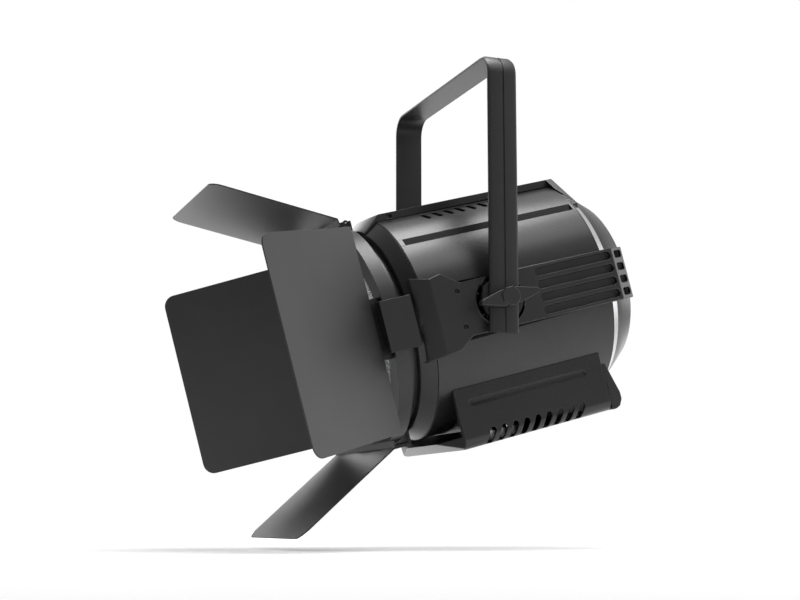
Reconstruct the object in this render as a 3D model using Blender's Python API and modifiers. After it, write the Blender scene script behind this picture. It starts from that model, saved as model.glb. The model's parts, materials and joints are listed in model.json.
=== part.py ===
"""LED stage luminaire with a yoke and four barn-door leaves.

World frame: metres, +Z up, the lens faces -Y. The origin is the middle of the yoke beam's top
face, where the hanging clamp goes. The housing is drawn in its own frame, whose origin is the tilt
pivot: x to the right side, y rearward along the light axis, z towards the spine on top.
"""

from math import asin, cos, pi, radians, sin

import bmesh
import bpy
from mathutils import Matrix, Vector

# Yoke
YOKE_WIDTH = 0.300
YOKE_HEIGHT = 0.280
YOKE_DROP = 0.038
BAR_WIDTH = 0.035
BAR_THICK = 0.0045
BAR_CHAMFER = (0.004, 0.0022)
BAR_GROOVE = (0.0025, 0.0012)
BEND_RADIUS = 0.025

# Housing
TILT_DEG = 15.2
SHELL_RADIUS = 0.131
SHELL_WALL = 0.004
SHELL_FRONT = -0.084
SHELL_REAR = 0.142
BEZEL_FRONT = -0.101
BEZEL_RADIUS = 0.120
SNOUT_FRONT = -0.112
SNOUT_RADIUS = 0.112
MOUTH_RADIUS = 0.108
SPINE_TOP = 0.1315
SPINE_HALF = 0.046
SPINE_FLAT = 0.1282
SPINE_SLOPE = 0.833
SLOT_COUNT = 8
SLOT_PITCH = 0.0146
SLOT_SIZE = (0.017, 0.0032)
STRIP_ANGLE = 42.5
STRIP_WIDTH = 0.0105
STRIP_DEPTH = 0.0018
CONE_BAND = (0.1215, 0.1495)
CONE_KNEE = (0.1168, 0.163)
CONE_END = (0.1005, 0.185)

# Side arms and tilt pivots
ARM_FACE = 0.138
ARM_CREASE = -0.077
ARM_FRONT = -0.095
ARM_TOP = 0.0285
ARM_BOTTOM = -0.0318
ARM_REAR = 0.150
ARM_END = 0.174
ARM_SLOTS = (0.0209, 0.0062, -0.0086, -0.0232)
BOSS_RADIUS = 0.0295
DISC_RADIUS = 0.0245
STUD_RADIUS = 0.005
KNOB_REACH = 0.036
KNOB_LEAN = 15

# Base box under the housing
BASE_HALF = 0.101
BASE_TOP = -0.080
BASE_BOTTOM = -0.152
BASE_FRONT = -0.0825
BASE_SHOULDER = -0.0665
BASE_NOSE_HALF = 0.036
BASE_REAR = 0.1225
BASE_WALL = 0.003
BASE_VENTS = 9
VENT_PITCH = 0.0144

# Barn doors
RING_RADIUS = 0.1281
RING_REAR = -0.1143
RING_FRONT = -0.1312
RING_HOLE = 0.106
HINGE_Y = -0.148
HINGE_OFFSET = 0.1171
FLANGE = 0.0116
FLANGE_BEND = 53.0
LEAF_THICK = 0.0015
SIDE_LEAF = (0.1148, 0.1648)
END_LEAF = (0.1035, 0.145)
LEAF_CORNER = 0.014
KNUCKLE_RADIUS = 0.0026
BRACKET_HALF = 0.034
BRACKET_KNUCKLE = 0.022

# Optics
LENS_RADIUS = 0.104
LENS_BACK = -0.080
ROD_RADIUS = 0.003
ROD_OFFSET = 0.1155
ROD_FRONT = -0.088
SCREW_OFFSET = -0.1135
BULKHEAD_Y = -0.006
CABLE_HOLE = 0.016
BLADES = 7

GAP = 0.0003
BORE_GAP = 0.0003
ROUND = 64

MATERIALS = {
    "satin_black_paint": ((0.030, 0.030, 0.032, 1), 0.42, 0.0),
    "black_plastic": ((0.025, 0.025, 0.027, 1), 0.38, 0.0),
    "leaf_black": ((0.032, 0.032, 0.034, 1), 0.55, 0.0),
    "black_steel": ((0.020, 0.020, 0.021, 1), 0.40, 0.6),
    "bright_steel": ((0.62, 0.62, 0.64, 1), 0.30, 1.0),
    "bare_aluminium": ((0.70, 0.70, 0.72, 1), 0.35, 1.0),
    "rubber": ((0.020, 0.020, 0.020, 1), 0.80, 0.0),
    "glass": ((0.90, 0.93, 0.95, 1), 0.05, 0.0),
    "circuit_board": ((0.02, 0.12, 0.05, 1), 0.50, 0.0),
    "led_white": ((0.85, 0.80, 0.55, 1), 0.40, 0.0),
    "display_dark": ((0.010, 0.014, 0.020, 1), 0.10, 0.0),
}


# ---- scene and materials ----------------------------------------------------------------------


def clear_scene():
    for obj in list(bpy.data.objects):
        bpy.data.objects.remove(obj, do_unlink=True)


def new_collection(name, hide=False):
    collection = bpy.data.collections.new(name)
    bpy.context.scene.collection.children.link(collection)
    collection.hide_render = hide
    return collection


def make_materials():
    made = {}
    for name, (color, roughness, metallic) in MATERIALS.items():
        material = bpy.data.materials.new(name)
        material.use_nodes = True
        shader = material.node_tree.nodes["Principled BSDF"]
        shader.inputs["Base Color"].default_value = color
        shader.inputs["Roughness"].default_value = roughness
        shader.inputs["Metallic"].default_value = metallic
        made[name] = material
    return made


clear_scene()
PART = new_collection("stage_light")
CUTTERS = new_collection("cutters", hide=True)
MATERIAL = make_materials()


def empty(name, parent=None, location=(0, 0, 0), rotation=(0, 0, 0)):
    obj = bpy.data.objects.new(name, None)
    PART.objects.link(obj)
    obj.parent = parent
    obj.location = location
    obj.rotation_euler = rotation
    return obj


# ---- shapes: each function returns a bmesh-built or curve-built mesh in its owner's frame ------


def mesh_of(bm):
    mesh = bpy.data.meshes.new("shape")
    bm.to_mesh(mesh)
    bm.free()
    return mesh


def box(low, high):
    bm = bmesh.new()
    bmesh.ops.create_cube(bm, size=1)
    size = [b - a for a, b in zip(low, high)]
    middle = [(a + b) / 2 for a, b in zip(low, high)]
    bmesh.ops.scale(bm, vec=size, verts=bm.verts)
    bmesh.ops.translate(bm, vec=middle, verts=bm.verts)
    return mesh_of(bm)


AXIS_TURN = {
    "x": Matrix.Rotation(pi / 2, 4, "Y"),
    "y": Matrix.Rotation(-pi / 2, 4, "X"),
    "z": Matrix.Identity(4),
}


def rod(axis, start, end, radius, at=(0, 0), segments=24, end_radius=None):
    """A cylinder or cone along an axis. at holds its two other coordinates, in x, y, z order."""
    bm = bmesh.new()
    bmesh.ops.create_cone(
        bm,
        cap_ends=True,
        segments=segments,
        radius1=radius,
        radius2=radius if end_radius is None else end_radius,
        depth=end - start,
    )
    middle = list(at)
    middle.insert("xyz".index(axis), (start + end) / 2)
    bmesh.ops.transform(bm, matrix=Matrix.Translation(middle) @ AXIS_TURN[axis], verts=bm.verts)
    return mesh_of(bm)


def turned(profile, segments=ROUND):
    """A ring about the y axis, from (radius, y) points: the outer side from rear to front first."""
    bm = bmesh.new()
    points = [bm.verts.new((radius, y, 0)) for radius, y in profile]
    loop = points if min(radius for radius, _ in profile) < 1e-6 else points + points[:1]
    for first, second in zip(loop, loop[1:]):
        bm.edges.new((first, second))
    shape = bpy.data.objects.new("turned", mesh_of(bm))
    CUTTERS.objects.link(shape)
    screw = shape.modifiers.new("turn", "SCREW")
    screw.axis = "Y"
    screw.steps = screw.render_steps = segments
    screw.use_merge_vertices = True
    screw.merge_threshold = 0.00001
    mesh = evaluated_mesh(shape)
    bpy.data.objects.remove(shape, do_unlink=True)
    bm = bmesh.new()
    bm.from_mesh(mesh)
    bmesh.ops.recalc_face_normals(bm, faces=bm.faces)
    return mesh_of(bm)


def evaluated_mesh(obj):
    bpy.context.view_layer.update()
    graph = bpy.context.evaluated_depsgraph_get()
    return bpy.data.meshes.new_from_object(obj.evaluated_get(graph))


OUTLINE_PLANES = {
    # outline (x, z), pushed along y; outline (y, z), pushed along x; outline (x, y), pushed along z
    "xz": Matrix(((1, 0, 0, 0), (0, 0, -1, 0), (0, 1, 0, 0), (0, 0, 0, 1))),
    "yz": Matrix(((0, 0, 1, 0), (1, 0, 0, 0), (0, 1, 0, 0), (0, 0, 0, 1))),
    "xy": Matrix.Identity(4),
}


def prism(plane, outline, start, end):
    """A flat outline with thickness, from start to end along the axis that its plane leaves."""
    curve = bpy.data.curves.new("outline", "CURVE")
    curve.dimensions = "2D"
    curve.fill_mode = "BOTH"
    curve.extrude = (end - start) / 2
    spline = curve.splines.new("POLY")
    spline.points.add(len(outline) - 1)
    for point, (a, b) in zip(spline.points, outline):
        point.co = (a, b, 0, 1)
    spline.use_cyclic_u = True
    shape = bpy.data.objects.new("outline", curve)
    CUTTERS.objects.link(shape)
    mesh = evaluated_mesh(shape)
    bpy.data.objects.remove(shape, do_unlink=True)
    bm = bmesh.new()
    bm.from_mesh(mesh)
    bmesh.ops.remove_doubles(bm, verts=bm.verts, dist=0.000005)
    middle = (start + end) / 2
    shift = {"xz": (0, middle, 0), "yz": (middle, 0, 0), "xy": (0, 0, middle)}[plane]
    bmesh.ops.transform(bm, matrix=Matrix.Translation(shift) @ OUTLINE_PLANES[plane], verts=bm.verts)
    bmesh.ops.recalc_face_normals(bm, faces=bm.faces)
    return mesh_of(bm)


def arc(centre, radius, start, end, steps):
    """Points on an arc, from start to end in degrees."""
    angles = [radians(start + (end - start) * i / steps) for i in range(steps + 1)]
    return [(centre[0] + radius * cos(a), centre[1] + radius * sin(a)) for a in angles]


def moved(mesh, matrix):
    mesh.transform(matrix)
    return mesh


# ---- pieces ------------------------------------------------------------------------------------


def piece(name, mesh, material, parent=None, bevel=0.0, bevel_segments=2, smooth=True):
    obj = bpy.data.objects.new(name, mesh)
    PART.objects.link(obj)
    obj.parent = parent
    mesh.materials.clear()
    mesh.materials.append(MATERIAL[material])
    if bevel:
        modifier = obj.modifiers.new("edges", "BEVEL")
        modifier.width = bevel
        modifier.segments = bevel_segments
        modifier.limit_method = "ANGLE"
        modifier.angle_limit = radians(40)
    if smooth:
        mesh.shade_smooth()
        mesh.set_sharp_from_angle(angle=radians(35))
    return obj


def boolean(obj, mesh, operation):
    tool = bpy.data.objects.new(f"{obj.name}_{operation.lower()}", mesh)
    CUTTERS.objects.link(tool)
    tool.hide_render = True
    tool.display_type = "WIRE"
    tool.parent = obj.parent
    modifier = obj.modifiers.new(operation.lower(), "BOOLEAN")
    modifier.operation = operation
    modifier.object = tool
    return obj


def cut(obj, *meshes):
    for mesh in meshes:
        boolean(obj, mesh, "DIFFERENCE")
    return obj


def join(obj, *meshes):
    for mesh in meshes:
        boolean(obj, mesh, "UNION")
    return obj


def sides():
    return (("right", 1), ("left", -1))


def mirrored(low, high, side):
    """A box given for the right side, moved to the side wanted."""
    if side > 0:
        return box(low, high)
    return box((-high[0], low[1], low[2]), (-low[0], high[1], high[2]))


def span(low, high, side):
    """Start and end of a stretch along x, on the side wanted."""
    return (low, high) if side > 0 else (-high, -low)


# ---- yoke --------------------------------------------------------------------------------------


def yoke_path():
    """The middle of the bar's outer face, from the bottom of one leg round to the other."""
    half = YOKE_WIDTH / 2
    foot = -YOKE_HEIGHT - YOKE_DROP
    inset = half - BEND_RADIUS
    right = arc((inset, -BEND_RADIUS), BEND_RADIUS, 0, 90, 8)
    left = arc((-inset, -BEND_RADIUS), BEND_RADIUS, 90, 180, 8)
    return [(half, foot)] + right + left + [(-half, foot)]


def yoke_section():
    """The bar's section: (across the bar, outward from the bar's outer face)."""
    half = BAR_WIDTH / 2
    chamfer, drop = BAR_CHAMFER
    groove, depth = BAR_GROOVE[0] / 2, BAR_GROOVE[1]
    right = [(half, -BAR_THICK), (half, -drop), (half - chamfer, 0), (groove, 0), (groove, -depth)]
    return right + [(-a, b) for a, b in reversed(right)]


def make_yoke():
    """Sections of the bar, stood square to the path at each of its points and skinned."""
    path = [Vector((x, 0, z)) for x, z in yoke_path()]
    section = yoke_section()
    bm = bmesh.new()
    rings = []
    for i, point in enumerate(path):
        before = (point - path[i - 1]).normalized() if i else None
        after = (path[i + 1] - point).normalized() if i + 1 < len(path) else None
        along = ((before or after) + (after or before)).normalized()
        outward = Vector((-along.z, 0, along.x)) * -1
        stretch = 1 / (before or after).dot(along)
        rings.append(
            [bm.verts.new(point + Vector((0, a, 0)) + outward * (b * stretch)) for a, b in section]
        )
    for first, second in zip(rings, rings[1:]):
        for i in range(len(section)):
            j = (i + 1) % len(section)
            bm.faces.new((first[i], first[j], second[j], second[i]))
    bm.faces.new(rings[0])
    bm.faces.new(rings[-1])
    bmesh.ops.recalc_face_normals(bm, faces=bm.faces)
    yoke = piece("yoke_frame", mesh_of(bm), "satin_black_paint")
    cut(yoke, rod("x", -0.2, 0.2, STUD_RADIUS + BORE_GAP, at=(0, -YOKE_HEIGHT), segments=32))


def wing_outline():
    """A bow-tie lever: a round middle and two wings that taper to round tips."""
    tip, half_root = 0.0038, 0.0085
    reach = KNOB_REACH - tip
    right = arc((reach, 0), tip, -78, 78, 6)
    left = arc((-reach, 0), tip, 102, 258, 6)
    middle = 0.011
    below = [(-middle, -half_root), (middle, -half_root)]
    above = [(middle, half_root), (-middle, half_root)]
    return below + right + above + left


def make_knobs():
    for name, side in sides():
        hinge = empty(f"knob_axis_{name}", location=(side * YOKE_WIDTH / 2, 0, -YOKE_HEIGHT))
        hinge.rotation_euler = (radians(KNOB_LEAN), 0, 0)
        inner = 0.0004
        knob = piece(
            f"wing_knob_{name}",
            rod("x", *span(inner, 0.018, side), 0.0108, segments=32),
            "black_plastic",
            hinge,
        )
        join(knob, prism("yz", wing_outline(), *span(0.0075, 0.0165, side)))
        cut(knob, rod("x", *span(-0.002, 0.0095, side), STUD_RADIUS + BORE_GAP, segments=32))


# ---- housing -----------------------------------------------------------------------------------


def clipped_circle(radius, flat_top, steps=72):
    """A circle with its top cut off flat, as an (x, z) outline."""
    start = 180 - asin(flat_top / radius) * 180 / pi
    return arc((0, 0), radius, start, 540 - start, steps)


def shell_body():
    """What other pieces are cut back from, to sit on the shell with a small gap."""
    outline = clipped_circle(SHELL_RADIUS + GAP, SPINE_FLAT - GAP)
    return prism("xz", outline, SHELL_FRONT - GAP, SHELL_REAR + GAP)


def bezel_body():
    """The bezel's cone with a small gap, and all the room in front of it."""
    grown = BEZEL_RADIUS + 2 * GAP
    rear = SHELL_FRONT + GAP
    return turned(
        [(0.0, rear), (SHELL_RADIUS + 2 * GAP, rear), (grown, BEZEL_FRONT), (grown, -0.15), (0.0, -0.15)],
        72,
    )


def rear_body():
    """The rear ring's cones with a small gap, and all the room behind them."""
    outline = [(0.0, 0.20), (CONE_END[0], 0.20)] + cone_profile(2 * GAP) + [(0.0, 0.1300)]
    return turned(outline, 72)


def strip_cutter(side):
    """The channel along the shell, high on each side."""
    width, depth = STRIP_WIDTH / 2, STRIP_DEPTH
    low = (SHELL_RADIUS - depth, SHELL_FRONT - 0.01, -width)
    high = (SHELL_RADIUS + 0.01, SHELL_REAR - 0.004, width)
    channel = box(low, high)
    angle = STRIP_ANGLE if side > 0 else 180 - STRIP_ANGLE
    return moved(channel, Matrix.Rotation(-radians(angle), 4, "Y"))


def shoulder_slots(side):
    """A row of slanted cooling slots down the shell's shoulder, beside the spine."""
    length, width = SLOT_SIZE
    lean = Matrix.Rotation(side * radians(17), 4, "Z")
    round_shell = Matrix.Rotation(side * radians(27.3), 4, "Y")
    slots = []
    for i in range(SLOT_COUNT):
        slot = box((-length / 2, -width / 2, -0.008), (length / 2, width / 2, 0.006))
        place = Matrix.Translation((0, -0.0287 + SLOT_PITCH * i, SHELL_RADIUS))
        slots.append(moved(slot, round_shell @ place @ lean))
    return slots


def make_shell(housing):
    inner = SHELL_RADIUS - SHELL_WALL
    profile = [
        (SHELL_RADIUS, SHELL_REAR),
        (SHELL_RADIUS, SHELL_FRONT),
        (inner, SHELL_FRONT),
        (inner, SHELL_REAR),
    ]
    shell = piece("main_shell", turned(profile, 72), "satin_black_paint", housing)
    cut(shell, box((-0.2, -0.2, SPINE_FLAT - 2 * GAP), (0.2, 0.2, 0.2)))
    for _, side in sides():
        cut(shell, strip_cutter(side), *shoulder_slots(side))
    cut(shell, box((-0.070, -0.050, -0.14), (0.070, 0.100, -0.10)))


def spine_limit():
    """A wide cone that rounds off the spine's front where it runs down over the bezel."""
    rear_radius = 0.16
    reach = (rear_radius - BEZEL_RADIUS) / SPINE_SLOPE
    front = (BEZEL_RADIUS + 0.0018, BEZEL_FRONT)
    rear = [(0.0, 0.17), (rear_radius, 0.17), (rear_radius, BEZEL_FRONT + reach)]
    return turned(rear + [front, (0.0, BEZEL_FRONT)], 72)


def make_spine(housing):
    """The raised spine: a flat top, upright sides, a rounded front and a slope down at the rear."""
    outline = [
        (BEZEL_FRONT - 0.001, 0.1080),
        (BEZEL_FRONT - 0.001, SPINE_TOP),
        (0.146, SPINE_TOP),
        (0.1525, 0.1240),
        (0.1525, 0.1150),
    ]
    spine = piece(
        "spine_cover", prism("yz", outline, -SPINE_HALF, SPINE_HALF), "satin_black_paint", housing
    )
    boolean(spine, spine_limit(), "INTERSECT")
    join(spine, collar_band())
    cut(spine, shell_body(), bezel_body(), rear_body())
    for _, side in sides():
        hole = mirrored((SPINE_HALF - 0.004, -0.0697, 0.1243), (SPINE_HALF + 0.01, -0.0637, 0.1290), side)
        cut(spine, hole)


def collar_band():
    """A faceted band behind the shell's rear edge, over its top quarter."""
    foot, drop = 0.0935, 0.012
    right = [(foot, foot - 0.002), (SPINE_HALF, SPINE_TOP)]
    under = [(SPINE_HALF, SPINE_TOP - drop), (foot - 0.004, foot - drop)]
    left = [(-x, z) for x, z in reversed(right)]
    under_left = [(-x, z) for x, z in reversed(under)]
    return prism("xz", right + left + under_left + under, 0.1418, 0.1500)


def cone_profile(grow=0.0):
    return [
        (CONE_END[0] + grow, CONE_END[1]),
        (CONE_KNEE[0] + grow, CONE_KNEE[1]),
        (CONE_BAND[0] + grow, CONE_BAND[1]),
        (SHELL_RADIUS + grow, SHELL_REAR + GAP),
    ]


def make_rear(housing):
    wall = 0.003
    inner = [
        (SHELL_RADIUS - 0.006, SHELL_REAR + GAP),
        (CONE_BAND[0] - wall, CONE_BAND[1]),
        (CONE_KNEE[0] - wall, CONE_KNEE[1]),
        (CONE_END[0] - wall, CONE_END[1] - wall),
        (0.089, CONE_END[1] - wall),
        (0.089, CONE_END[1]),
    ]
    piece("rear_ring", turned(cone_profile() + inner, 72), "satin_black_paint", housing)


def make_bezel(housing):
    profile = [
        (SHELL_RADIUS - 0.0003, SHELL_FRONT - GAP),
        (BEZEL_RADIUS, BEZEL_FRONT),
        (SNOUT_RADIUS, BEZEL_FRONT),
        (SNOUT_RADIUS, SNOUT_FRONT),
        (MOUTH_RADIUS, SNOUT_FRONT),
        (MOUTH_RADIUS, BEZEL_FRONT + 0.003),
        (SHELL_RADIUS - 0.007, SHELL_FRONT - GAP),
    ]
    piece("front_bezel", turned(profile, 72), "satin_black_paint", housing)


def arm_outline():
    """Side view of an arm cover: a stepped front and a straight rear stretch."""
    top = [(ARM_FRONT, 0.046), (ARM_CREASE, 0.040), (-0.063, 0.043), (-0.042, ARM_TOP), (ARM_END, ARM_TOP)]
    bottom = [(ARM_END, ARM_BOTTOM), (-0.042, ARM_BOTTOM), (-0.060, -0.044), (ARM_FRONT, -0.048)]
    return top + bottom


def make_arm(housing, name, side):
    arm = piece(
        f"side_arm_{name}",
        prism("yz", arm_outline(), *span(0.108, ARM_FACE, side)),
        "black_plastic",
        housing,
    )
    outside = ARM_FACE + 0.001
    rear = [(outside, ARM_REAR), (outside, 0.18), (0.1177, 0.18)]
    front = [(outside, ARM_CREASE + 0.001), (outside, ARM_FRONT - 0.01), (0.116, ARM_FRONT - 0.01)]
    for wedge in (rear, front):
        cut(arm, prism("xy", [(side * x, y) for x, y in wedge], -0.06, 0.06))
    cut(arm, shell_body(), bezel_body(), rear_body())
    join(arm, rod("x", *span(ARM_FACE - 0.001, ARM_FACE + 0.002, side), BOSS_RADIUS, segments=48))
    cut(arm, rod("x", *span(0.1325, 0.15, side), STUD_RADIUS + BORE_GAP, segments=32))
    for middle in ARM_SLOTS:
        low = (ARM_FACE - 0.003, 0.054, middle - 0.0045)
        high = (ARM_FACE + 0.01, 0.1465, middle + 0.0045)
        cut(arm, mirrored(low, high, side))
        low, high = (0.1205, 0.1560, middle - 0.0038), (0.15, 0.1700, middle + 0.0038)
        cut(arm, mirrored(low, high, side))


def make_pivots(housing):
    for name, side in sides():
        make_arm(housing, name, side)
        room = span(ARM_FACE + 0.0023, YOKE_WIDTH / 2 - BAR_THICK - GAP, side)
        disc = piece(
            f"friction_disc_{name}", rod("x", *room, DISC_RADIUS, segments=40), "rubber", housing
        )
        cut(disc, rod("x", *span(0.13, 0.16, side), STUD_RADIUS + BORE_GAP, segments=32))
        piece(
            f"pivot_stud_{name}",
            rod("x", *span(0.1330, YOKE_WIDTH / 2 + 0.0085, side), STUD_RADIUS, segments=32),
            "bright_steel",
            housing,
        )


# ---- base box ----------------------------------------------------------------------------------


def base_section(inset, radius):
    """Section across the base: upright sides and round lower edges, as an (x, z) outline."""
    half = BASE_HALF - inset
    low = BASE_BOTTOM + inset
    corner = half - radius
    right = arc((corner, low + radius), radius, -90, 0, 5)
    left = arc((-corner, low + radius), radius, 180, 270, 5)
    return left + right + [(half, BASE_TOP), (-half, BASE_TOP)]


def nose_cutter(side):
    """Takes off one front corner of the base, seen from above."""
    reach = 0.02
    slope = (BASE_SHOULDER - BASE_FRONT) / (BASE_HALF - BASE_NOSE_HALF)
    outline = [
        (side * (BASE_HALF + reach), BASE_SHOULDER + slope * reach),
        (side * (BASE_NOSE_HALF - reach), BASE_FRONT - slope * reach),
        (side * (BASE_HALF + reach), BASE_FRONT - slope * reach),
    ]
    return prism("xy", outline, BASE_BOTTOM - 0.01, BASE_TOP + 0.01)


def base_vents():
    cutters = []
    lean = Matrix.Rotation(radians(-28), 4, "X")
    for _, side in sides():
        for i in range(BASE_VENTS):
            slot = box((-0.011, -0.0033, -0.0125), (0.011, 0.0033, 0.0125))
            place = Matrix.Translation((side * (BASE_HALF - 0.003), -0.0345 + VENT_PITCH * i, -0.1475))
            cutters.append(moved(slot, place @ lean))
    return cutters


def make_base(housing):
    recess = [(-0.11, -0.1470), (-0.052, -0.1330), (-0.052, -0.07), (-0.11, -0.07)]
    cavity_front = BASE_SHOULDER + 0.020
    base = piece(
        "base_box",
        prism("xz", base_section(0, 0.012), BASE_FRONT, BASE_REAR),
        "satin_black_paint",
        housing,
    )
    inner = prism("xz", base_section(BASE_WALL, 0.009), cavity_front, BASE_REAR - BASE_WALL)
    inner_top = box(
        (-BASE_HALF + BASE_WALL, cavity_front, BASE_TOP - 0.002),
        (BASE_HALF - BASE_WALL, BASE_REAR - BASE_WALL, BASE_TOP + 0.01),
    )
    bevel = [(BASE_FRONT - 0.005, -0.134), (BASE_FRONT - 0.005, -0.16), (BASE_FRONT + 0.0267, -0.16)]
    cut(base, inner, inner_top, nose_cutter(1), nose_cutter(-1))
    cut(base, prism("yz", bevel, -0.12, 0.12))
    cut(base, rod("y", -0.2, 0.2, SHELL_RADIUS + GAP, segments=96))
    cut(base, prism("yz", recess, 0.005 - BASE_HALF, BASE_HALF - 0.005))
    cut(base, *base_vents())
    for _, side in sides():
        groove = mirrored((BASE_HALF - 0.0014, -0.052, -0.1060), (BASE_HALF + 0.01, 0.100, -0.0985), side)
        cut(base, groove)


def make_base_rear(housing):
    outline = [
        (BASE_REAR + GAP, -0.098),
        (0.1275, -0.098),
        (0.1375, -0.134),
        (0.1375, -0.142),
        (0.1335, -0.1495),
        (0.1275, BASE_BOTTOM),
        (BASE_REAR + GAP, BASE_BOTTOM),
    ]
    cover = piece(
        "base_rear_cover",
        prism("yz", outline, -BASE_HALF + 0.001, BASE_HALF - 0.001),
        "black_plastic",
        housing,
        bevel=0.002,
    )
    cut(cover, rod("y", 0.1, 0.2, SHELL_RADIUS + GAP, segments=96))


# ---- accessory holders -------------------------------------------------------------------------

STATIONS = (("top", 0), ("right", 90), ("bottom", 180), ("left", 270))


def station(name, degrees, parent):
    """A frame turned about the light axis, whose z points outwards at that station."""
    return empty(name, parent, rotation=(0, radians(degrees), 0))


def clip_outline():
    """Side view of a holder clip, hooked over the ring: (y, distance from the light axis)."""
    top, under = 0.1335, RING_RADIUS + 0.0013
    front, back = -0.1385, BEZEL_FRONT - 0.0004
    return [
        (front, top),
        (back, top),
        (back, 0.1125),
        (back - 0.0035, 0.1125),
        (back - 0.0035, under),
        (front + 0.0035, under),
        (front + 0.0035, 0.1225),
        (front, 0.1225),
    ]


def make_clips(housing):
    for name, degrees in STATIONS[1:]:
        place = station(f"clip_station_{name}", degrees, housing)
        clip = prism("yz", clip_outline(), -0.0285, 0.0285)
        piece(f"accessory_clip_{name}", clip, "black_plastic", place)


LATCH_PIN = (-0.1080, 0.1335)


def knuckle(start, end, radius, bore, at):
    """Outer barrel and bore of one hinge knuckle about an x-axis pin, at (y, z)."""
    return (
        rod("x", start, end, radius, at=at, segments=20),
        rod("x", start - 0.001, end + 0.001, bore, at=at, segments=16),
    )


def make_latch(housing):
    top, under = 0.1350, RING_RADIUS + 0.0013
    half, inner = 0.013, 0.006
    back = BEZEL_FRONT - 0.0004
    foot = [
        (back, 0.1125),
        (back, 0.1350),
        (-0.1085, 0.1350),
        (-0.1085, 0.1318),
        (back - 0.003, 0.1295),
        (back - 0.003, 0.1125),
    ]
    bracket = piece("latch_bracket", prism("yz", foot, -half, half), "black_steel", housing)
    barrel, bore = knuckle(-inner, inner, 0.0032, 0.0015, LATCH_PIN)
    for _, side in sides():
        cut(bracket, rod("x", *span(inner, 0.02, side), 0.0040, at=LATCH_PIN, segments=20))
    join(bracket, barrel)
    cut(bracket, bore)

    hinge = empty("latch_axis", housing, location=(0, *LATCH_PIN))
    pin_y, pin_z = LATCH_PIN
    outline = [
        (-0.1385, top),
        (-0.1110, top),
        (-0.1080, 0.1350),
        (-0.1080, 0.1320),
        (-0.1115, under + 0.0005),
        (-0.1350, under),
        (-0.1350, 0.1225),
        (-0.1385, 0.1225),
    ]
    local = [(y - pin_y, z - pin_z) for y, z in outline]
    latch = piece("accessory_latch", prism("yz", local, -half, half), "black_steel", hinge)
    cut(latch, rod("x", -inner - 0.0003, inner + 0.0003, 0.0040, at=(0, 0), segments=20))
    for _, side in sides():
        barrel, bore = knuckle(*span(inner + 0.0003, half, side), 0.0032, 0.0015, (0, 0))
        join(latch, barrel)
        cut(latch, bore)
    piece("latch_pin", rod("x", -half, half, 0.0012, at=LATCH_PIN, segments=16), "bright_steel", housing)


# ---- barn doors --------------------------------------------------------------------------------


def make_ring(axis):
    sheet = 0.002
    profile = [
        (RING_RADIUS, RING_REAR),
        (RING_RADIUS, RING_FRONT),
        (RING_HOLE, RING_FRONT),
        (RING_HOLE, RING_FRONT + sheet),
        (RING_RADIUS - sheet, RING_FRONT + sheet),
        (RING_RADIUS - sheet, RING_REAR),
    ]
    piece("barn_door_ring", turned(profile, 72), "leaf_black", axis)


def make_bracket(name, place):
    sheet = 0.0015
    foot = RING_FRONT - GAP
    web = HINGE_OFFSET - 0.002
    outline = [
        (foot, 0.1072),
        (foot, web),
        (HINGE_Y - 0.0005, web),
        (HINGE_Y - 0.0005, web - sheet),
        (foot - sheet, web - sheet),
        (foot - sheet, 0.1072),
    ]
    folded = prism("yz", outline, -BRACKET_HALF, BRACKET_HALF)
    bracket = piece(f"hinge_bracket_{name}", folded, "leaf_black", place)
    pin_at = (HINGE_Y, HINGE_OFFSET)
    barrel, bore = knuckle(-BRACKET_KNUCKLE, BRACKET_KNUCKLE, KNUCKLE_RADIUS, 0.0015, pin_at)
    for _, side in sides():
        cut(bracket, rod("x", *span(BRACKET_KNUCKLE, 0.04, side), 0.0036, at=pin_at, segments=20))
    join(bracket, barrel)
    cut(bracket, bore)
    piece(
        f"hinge_pin_{name}",
        rod("x", -BRACKET_HALF - 0.001, BRACKET_HALF + 0.001, 0.0012, at=pin_at, segments=16),
        "bright_steel",
        place,
    )


def make_leaf(name, place, half_root, half_tip, length, open_deg):
    """A bent sheet: knuckles on the pin, a narrow flange and the broad plate beyond the bend."""
    hinge = empty(f"leaf_axis_{name}", place, (0, HINGE_Y, HINGE_OFFSET), (-radians(open_deg), 0, 0))
    tang, gap = 0.0018, BRACKET_KNUCKLE + 0.0004
    half_right = [
        (gap, 0.0036),
        (gap, tang),
        (BRACKET_HALF, tang),
        (BRACKET_HALF, 0.0036),
        (half_root, 0.0036),
        (half_root, FLANGE),
    ]
    outline = [(-x, u) for x, u in reversed(half_right)] + half_right
    flange = prism("xy", [(x, -u) for x, u in outline], -LEAF_THICK / 2, LEAF_THICK / 2)
    moved(flange, Matrix.Rotation(-radians(FLANGE_BEND), 4, "X"))
    leaf = piece(f"leaf_{name}", flange, "leaf_black", hinge)

    tip = length - LEAF_CORNER
    corner = half_tip - LEAF_CORNER
    rounded = arc((corner, tip), LEAF_CORNER, 0, 90, 6)
    right = [(half_root, -0.0006)] + rounded
    plate = right + [(-x, y) for x, y in reversed(right)]
    bend = Vector((0, -FLANGE * cos(radians(FLANGE_BEND)), FLANGE * sin(radians(FLANGE_BEND))))
    sheet = prism("xy", [(x, -y) for x, y in plate], -LEAF_THICK / 2, LEAF_THICK / 2)
    join(leaf, moved(sheet, Matrix.Translation(bend)))
    for _, side in sides():
        barrel, bore = knuckle(*span(gap, BRACKET_HALF, side), KNUCKLE_RADIUS, 0.0015, (0, 0))
        join(leaf, barrel)
        cut(leaf, bore)


LEAF_OPEN = {"right": 37.1, "left": 34.8, "top": 26.9, "bottom": 26.9}


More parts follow.
